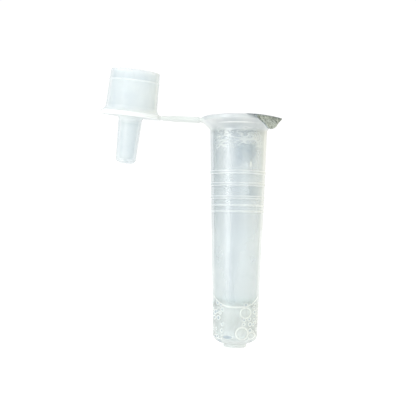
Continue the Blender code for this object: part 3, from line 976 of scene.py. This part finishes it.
def seam_ends():
    """Where the line that divides lid and corner meets the foil's two straight sides."""
    middle = OUT * FOLD_FROM_AXIS
    ends = []
    for side in (-1, 1):
        fold_end = middle + ALONG * side * FOLD_HALF_WIDTH
        turn = math.atan2(fold_end.y, fold_end.x) + side * SIDE_SPREAD
        touch = Vector((math.cos(turn), math.sin(turn), 0)) * FOIL_RADIUS
        share = CORNER_SEAM / (fold_end - touch).dot(OUT)
        ends.append((fold_end.lerp(touch, share), touch, turn))
    return ends


def make_foil_sheet(material):
    (near, near_touch, near_turn), (far, far_touch, far_turn) = seam_ends()
    outline = even_run(near.xy, far.xy, FOIL_GRID) + even_run(far.xy, far_touch.xy, FOIL_GRID)
    sweep = (near_turn - far_turn) % TURN
    steps = round(sweep * FOIL_RADIUS / FOIL_GRID)
    for i in range(steps):
        angle = far_turn + sweep * i / steps
        outline.append((FOIL_RADIUS * math.cos(angle), FOIL_RADIUS * math.sin(angle)))
    outline += even_run(near_touch.xy, near.xy, FOIL_GRID)
    verts, faces = filled_sheet(outline, FOIL_GRID)

    def place(x, y):
        return Vector((x, y, RIM_Z + foil_height(x, y)))

    sheet = sheet_piece("foil_seal_sheet", verts, faces, place, material)
    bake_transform(sheet)
    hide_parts("foil_bonded_strip", "foil_lid")


def smooth_run(points, step):
    """(x, y) points on an even curve through the given points, without its last one."""
    ends = [2 * Vector(points[0]) - Vector(points[1]), 2 * Vector(points[-1]) - Vector(points[-2])]
    known = [ends[0], *(Vector(p) for p in points), ends[1]]
    run = []
    for before, start, end, after in zip(known, known[1:], known[2:], known[3:]):
        count = max(2, round((end - start).length / step))
        for i in range(count):
            t = i / count
            point = 0.5 * (
                2 * start
                + (end - before) * t
                + (2 * before - 5 * start + 4 * end - after) * t**2
                + (3 * start - before - 3 * end + after) * t**3
            )
            run.append(tuple(point))
    return run


def corner_outline(near, far):
    """The pull corner laid flat, as (out from the fold, along it): a hollow side and a blunt tip."""
    seam_near, seam_far = near.dot(ALONG), far.dot(ALONG)
    back = -CORNER_SEAM
    outline = even_run((back, seam_far), (back, seam_near), FOIL_GRID)
    outline += even_run((back, seam_near), (0, -FOLD_HALF_WIDTH), FOIL_GRID)
    edge = [(out * MM, along * MM) for out, along in CORNER_EDGE]
    outline += smooth_run([(0, -FOLD_HALF_WIDTH), *edge, (0, FOLD_HALF_WIDTH)], FOIL_GRID)
    outline += even_run((0, FOLD_HALF_WIDTH), (back, seam_far), FOIL_GRID)
    return outline


def make_foil_corner(material):
    (near, *_), (far, *_) = seam_ends()
    verts, faces = filled_sheet(corner_outline(near, far), FOIL_GRID * 0.8)
    step = 0.02 * MM

    def fold_point(out):
        """How far out and down a point lies once the corner is bent over the fold."""
        x, z, u = -CORNER_SEAM, 0.0, -CORNER_SEAM
        while u < out:
            angle = FOLD_ANGLE * smooth_step(u, -HALF_FOLD, HALF_FOLD)
            angle -= math.radians(4) * smooth_step(u, 0.5 * MM, 4 * MM)
            part = min(step, out - u)
            x += part * math.cos(angle)
            z -= part * math.sin(angle)
            u += part
        return x, z

    def place(u, v):
        x, z = fold_point(u)
        flat = OUT * (FOLD_FROM_AXIS + u) + ALONG * v
        on_lid = 1 - smooth_step(u, -HALF_FOLD, HALF_FOLD)
        ripple = 0.10 * MM * noise.noise(Vector((u / (2 * MM), v / (2 * MM), 1.7)))
        curl = -0.2 * MM * smooth_step(abs(v), 1.5 * MM, 4.1 * MM) * smooth_step(u, 0.2 * MM, 2 * MM)
        lift = foil_height(flat.x, flat.y)
        away = (ripple + curl) * (1 - on_lid)
        direction = OUT * math.sin(FOLD_ANGLE) + Vector((0, 0, math.cos(FOLD_ANGLE)))
        point = OUT * (FOLD_FROM_AXIS + x) + ALONG * v + Vector((0, 0, RIM_Z + lift + z))
        return point + direction * away

    corner = sheet_piece("foil_pull_tab", verts, faces, place, material)
    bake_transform(corner)
    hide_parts("foil_pull_corner")


# ---------------------------------------------------------------- buffer


def liquid_surface(radius):
    edge = inner_radius(LIQUID_LEVEL + MENISCUS_RISE)
    return LIQUID_LEVEL + MENISCUS_RISE * (radius / edge) ** MENISCUS_POWER


def in_liquid(centre, radius, gap):
    """True if a bubble fits in the liquid and clear of its surfaces."""
    reach = math.hypot(centre.x, centre.y)
    if centre.z + radius + gap > liquid_surface(max(0, reach - radius)):
        return False
    if centre.z > CAVITY_SHOULDER_Z:
        return reach + radius + gap < inner_radius(centre.z)
    depth = CAVITY_SHOULDER_Z - CAVITY_FLOOR_Z
    across = reach / (CAVITY_LOW_RADIUS - radius - gap - CAVITY_GAP)
    down = (CAVITY_SHOULDER_Z - centre.z) / (depth - radius - gap - CAVITY_GAP)
    return across**CAVITY_FULLNESS + max(0, down) ** CAVITY_FULLNESS < 1


def bubble_places():
    """A few large bubbles given in a list, then many small ones along the wall."""
    bubbles = []
    for x, y, z, radius, squash in LARGE_BUBBLES:
        bubbles.append((Vector((x, y, z)) * MM, radius * MM, squash))
    rand = random.Random(BUBBLE_SEED)
    tries = 0
    while len(bubbles) < BUBBLE_COUNT and tries < BUBBLE_TRIES:
        tries += 1
        radius = (0.16 + 0.32 * rand.random() ** 2.2) * MM
        z = (1.7 + 8.4 * rand.random()) * MM
        side = rand.choice((-1, 1, 0))
        angle = {-1: math.pi, 1: 0.0, 0: rand.uniform(0, TURN)}[side] + rand.gauss(0, 0.55)
        reach = inner_radius(max(z, CAVITY_SHOULDER_Z)) - radius - rand.random() ** 2 * 0.9 * MM
        if z < CAVITY_SHOULDER_Z:
            down = (CAVITY_SHOULDER_Z - z) / (CAVITY_SHOULDER_Z - CAVITY_FLOOR_Z)
            reach *= max(0.05, 1 - down**CAVITY_FULLNESS) ** (1 / CAVITY_FULLNESS)
        centre = Vector((reach * math.cos(angle), reach * math.sin(angle), z))
        if not in_liquid(centre, radius, 0.05 * MM):
            continue
        if all((centre - c).length > radius + r + 0.04 * MM for c, r, _ in bubbles):
            bubbles.append((centre, radius, 1.0))
    return bubbles


def make_buffer(material, froth, skin):
    """The liquid, with its bubbles as hollows in it."""
    depth = CAVITY_SHOULDER_Z - CAVITY_FLOOR_Z - CAVITY_GAP
    radius = CAVITY_LOW_RADIUS - CAVITY_GAP
    base = base_curve(CAVITY_SHOULDER_Z, radius, depth, CAVITY_FULLNESS, 0, 0)
    base[0] = (0, CAVITY_FLOOR_Z + CAVITY_GAP, 0)
    top = LIQUID_LEVEL + MENISCUS_RISE
    edge = inner_radius(top) - CAVITY_GAP
    surface = []
    steps = 22
    for i in range(steps + 1):
        reach = edge * (1 - i / steps)
        surface.append((reach, min(top, liquid_surface(reach)), 0))
    bm = turned(refined(base + surface, 0.6 * MM))
    bmesh.ops.recalc_face_normals(bm, faces=bm.faces)
    for face in bm.faces:
        face.material_index = 1 if face.calc_center_median().z > LIQUID_LEVEL else 0
    mesh = bpy.data.meshes.new("buffer_with_bubbles")
    for centre, size, squash in bubble_places():
        level = 3 if size > 0.4 * MM else 2
        where = Matrix.Translation(centre) @ Matrix.Diagonal((1, 1, 0.96 * squash, 1))
        made = bmesh.ops.create_icosphere(bm, subdivisions=level, radius=size, matrix=where)
        faces = {face for vert in made["verts"] for face in vert.link_faces}
        bmesh.ops.reverse_faces(bm, faces=list(faces))
        for face in faces:
            face.material_index = 2
    bm.to_mesh(mesh)
    bm.free()
    for part in (material, froth, skin):
        mesh.materials.append(part)
    mesh.shade_smooth()
    mesh.set_sharp_from_angle(angle=math.radians(50))
    piece = bpy.data.objects.new("buffer_with_bubbles", mesh)
    bpy.context.scene.collection.objects.link(piece)
    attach(piece, "tube_body")
    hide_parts("buffer_liquid")


# ---------------------------------------------------------------- studio


def make_floor():
    bm = bmesh.new()
    bmesh.ops.create_grid(bm, x_segments=1, y_segments=1, size=4.0)
    n = Nodes("pale_floor")
    pale = n.colour((0.40, 0.40, 0.40), (0.42, 0.42, 0.42), n.noise(12, 2.0))
    paper = n.add("BsdfDiffuse", {"Color": pale}).outputs[0]
    glows = [n.add("Emission", {"Strength": strength}).outputs[0] for strength in (0.8, 0.65)]
    lit, dim = (n.add("AddShader", {0: paper, 1: glow}).outputs[0] for glow in glows)
    spread = n.add("LightPath").outputs["Is Diffuse Ray"]  # white to look at, grey as a light
    floor = finish_mesh("floor", bm, n.done(n.mix(spread, lit, dim)))
    floor.location.z = FLOOR_Z


def make_world():
    """White behind, a cooler and darker room in front, and warm light from the right."""
    world = bpy.data.worlds.new("studio")
    bpy.context.scene.world = world
    n = Nodes("studio", world)
    where = n.add("TexCoord").outputs["Generated"]

    def towards(direction, low, high):
        """0 away from a direction, rising to 1 near it."""
        ways = {0: where, 1: Vector(direction).normalized()}
        dot = n.add("VectorMath", ways, operation="DOT_PRODUCT").outputs["Value"]
        sockets = {"Value": dot, "From Min": low, "From Max": high}
        return n.add("MapRange", sockets, interpolation_type="SMOOTHSTEP").outputs[0]

    cool = (0.93, 0.97, 1.0)
    warm = towards((1.0, 0.15, 0.1), 0.35, 0.95)
    room = n.colour(cool, (1.45, 1.36, 1.15), warm)
    mirrored = n.colour(cool, (0.08, 0.12, 0.16), towards((0.81, -0.59, 0.05), 0.78, 0.97))
    mirrored = n.colour(mirrored, (1.5, 1.32, 0.85), warm)
    seen_through = n.colour((0.62, 0.66, 0.66), (1.0, 1.0, 1.0), towards((0, 0, 1), -0.5, 0.45))
    rays = n.add("LightPath").outputs
    surface = n.add("Background", {"Color": room, "Strength": 0.92}).outputs[0]
    for kind, colour, strength in (
        ("Is Glossy Ray", mirrored, 1.0),
        ("Is Transmission Ray", seen_through, 2.1),
        ("Is Camera Ray", (1, 1, 1, 1), 1.05),
    ):
        other = n.add("Background", {"Color": colour, "Strength": strength}).outputs[0]
        surface = n.mix(rays[kind], surface, other)
    n.done(surface)


def add_strip(name, azimuth, width, height, watts, distance=0.4, middle_z=0.06):
    """A tall softbox at an angle left (negative) or right of the camera's side."""
    light = bpy.data.lights.new(name, "AREA")
    light.shape = "RECTANGLE"
    light.size, light.size_y = width, height
    light.energy = watts
    lamp = bpy.data.objects.new(name, light)
    bpy.context.scene.collection.objects.link(lamp)
    turn = math.radians(azimuth)
    lamp.location = (distance * math.sin(turn), -distance * math.cos(turn), middle_z)
    lamp.rotation_euler = (math.pi / 2, 0, turn)


def make_camera():
    """Level with the lower tube, looking very slightly up at the mouth, tilted by a degree."""
    lens = bpy.data.cameras.new("camera")
    lens.sensor_width = 36
    lens.lens = CAMERA_LENS
    lens.clip_start = 0.01
    camera = bpy.data.objects.new("camera", lens)
    bpy.context.scene.collection.objects.link(camera)
    look = (CAMERA_AIM - CAMERA_EYE).to_track_quat("-Z", "Y").to_matrix().to_4x4()
    roll = Matrix.Rotation(CAMERA_ROLL, 4, "Z")
    camera.matrix_world = Matrix.Translation(CAMERA_EYE) @ look @ roll
    bpy.context.scene.camera = camera


def main():
    bpy.context.scene.view_settings.view_transform = "Standard"
    make_camera()
    make_world()
    make_floor()
    add_strip("window", -42, 0.035, 0.11, 0.034, distance=0.1, middle_z=0.056)
    add_strip("lamp_left", -44, 0.006, 0.5, 0.05)
    add_strip("lamp_centre", -14.7, 0.008, 0.5, 0.12)

    wall = moulding(
        name="tube_plastic",
        thin=(0.29, 0.375, 0.42),
        pale=(0.76, 0.80, 0.75),
        thick=(0.97, 0.99, 0.98),
        haze=0.09,
        thick_haze=0.85,
        glass=(0.905, 0.93, 0.942),
        roughness=0.36,
        mirror=0.18,
        ripple=0.05 * MM,
        marks=wall_marks,
    )
    cap = moulding(
        name="cap_plastic",
        thin=(0.63, 0.70, 0.735),
        pale=(0.77, 0.81, 0.80),
        thick=(0.95, 0.97, 0.95),
        haze=0.31,
        thick_haze=0.85,
        glass=(0.955, 0.972, 0.984),
        roughness=0.12,
        mirror=0.02,
        ripple=0.02 * MM,
    )
    strap = moulding(
        name="strap_plastic",
        thin=(0.66, 0.70, 0.68),
        pale=(0.75, 0.79, 0.76),
        thick=(0.75, 0.79, 0.76),
        haze=0.6,
        thick_haze=0.9,
        glass=(0.96, 0.97, 0.97),
        roughness=0.3,
        mirror=0.03,
        ripple=0.03 * MM,
    )
    foil = foil_material()
    make_tube(wall)
    make_cap(cap)
    make_strap(strap)
    make_foil_sheet(foil)
    make_foil_corner(foil)
    make_buffer(water_material(), froth_material(), bubble_material())


main()
